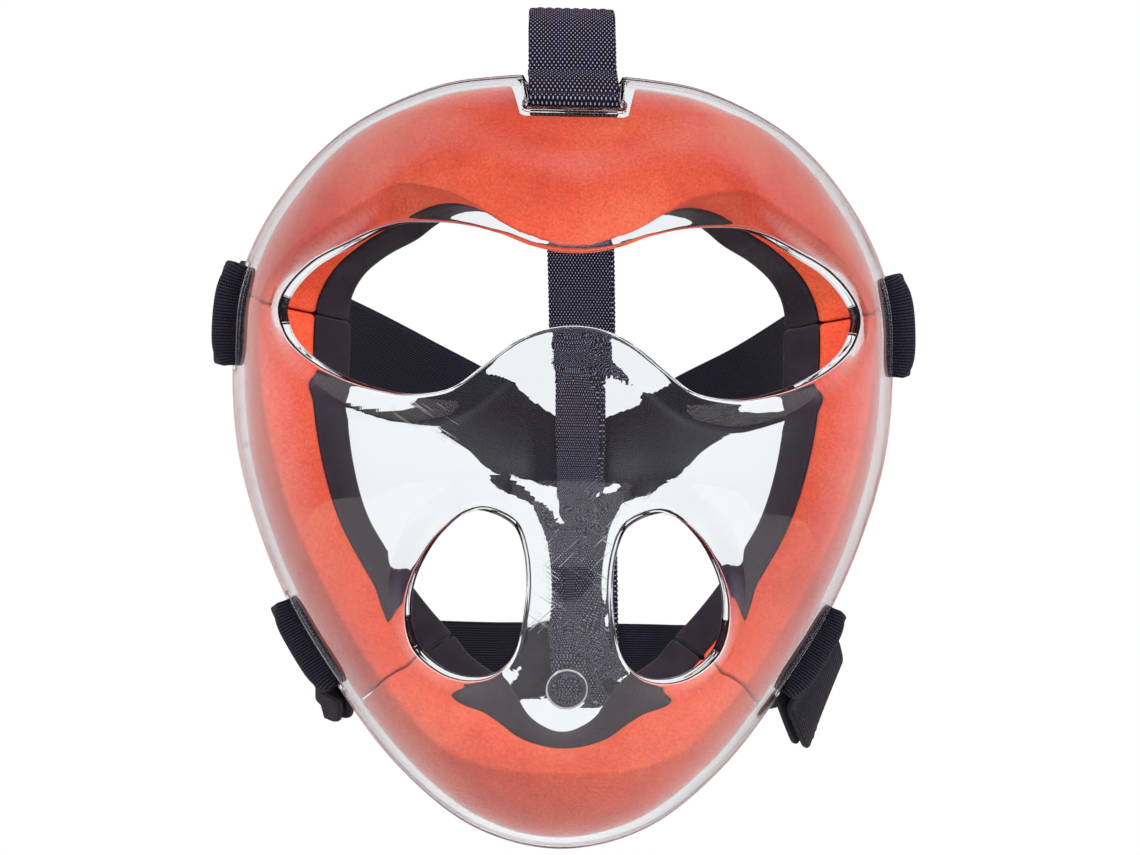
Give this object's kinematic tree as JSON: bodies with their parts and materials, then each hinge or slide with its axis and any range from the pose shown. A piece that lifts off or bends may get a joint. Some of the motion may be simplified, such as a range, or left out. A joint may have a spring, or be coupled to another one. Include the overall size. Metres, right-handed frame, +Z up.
{
  "type": "field hockey face mask",
  "caption": "Clear face mask with an eye opening, mouth openings, foam pads and adjustable head straps with peel-open tabs.",
  "frame": {"origin": "on the middle plane, at the wearer's eye height, level with the rearmost part of the shell's rim", "axes": "+X to the wearer's left, +Y from the face to the back of the head, +Z up"},
  "size_m": [0.2074, 0.3004, 0.2469],
  "materials": {
    "polycarbonate": "clear, polished",
    "foam": "matte, closed-cell, orange",
    "liner": "matte, soft, black",
    "elastic": "ribbed woven elastic, black",
    "webbing": "basket-woven webbing, black",
    "hook": "fine hooks, black"
  },
  "bodies": {
    "mask": {"shell": "polycarbonate", "forehead_foam": "foam", "forehead_liner": "liner", "left_cheek_foam": "foam", "left_cheek_liner": "liner", "right_cheek_foam": "foam", "right_cheek_liner": "liner", "chin_foam": "foam", "chin_liner": "liner", "crown_strap": "webbing", "left_temple_strap": "elastic", "left_jaw_strap": "elastic", "right_temple_strap": "elastic", "right_jaw_strap": "elastic"},
    "crown_end": {"crown_tab": "webbing", "crown_hook_patch": "hook"},
    "left_temple_end": {"left_temple_tab": "elastic", "left_temple_hook_patch": "hook"},
    "left_jaw_end": {"left_jaw_tab": "elastic", "left_jaw_hook_patch": "hook"},
    "right_temple_end": {"right_temple_tab": "elastic", "right_temple_hook_patch": "hook"},
    "right_jaw_end": {"right_jaw_tab": "elastic", "right_jaw_hook_patch": "hook"}
  },
  "joints": [
    {"name": "crown_peel", "type": "hinge", "parent": "mask", "child": "crown_end", "pos_m": [0, -0.04223, 0.06793], "axis": [1, 0, 0], "range_deg": [0, 110]},
    {"name": "left_temple_peel", "type": "hinge", "parent": "mask", "child": "left_temple_end", "pos_m": [0.10334, -0.00074, -0.00004], "axis": [0.1202, 0.1599, -0.9798], "range_deg": [0, 110]},
    {"name": "left_jaw_peel", "type": "hinge", "parent": "mask", "child": "left_jaw_end", "pos_m": [0.07818, -0.00615, -0.09919], "axis": [-0.516, -0.3254, -0.7924], "range_deg": [0, 110]},
    {"name": "right_temple_peel", "type": "hinge", "parent": "mask", "child": "right_temple_end", "pos_m": [-0.10334, -0.00074, -0.00004], "axis": [0.1202, -0.1599, 0.9798], "range_deg": [0, 110]},
    {"name": "right_jaw_peel", "type": "hinge", "parent": "mask", "child": "right_jaw_end", "pos_m": [-0.07818, -0.00615, -0.09919], "axis": [-0.516, 0.3254, 0.7924], "range_deg": [0, 110]}
  ]
}
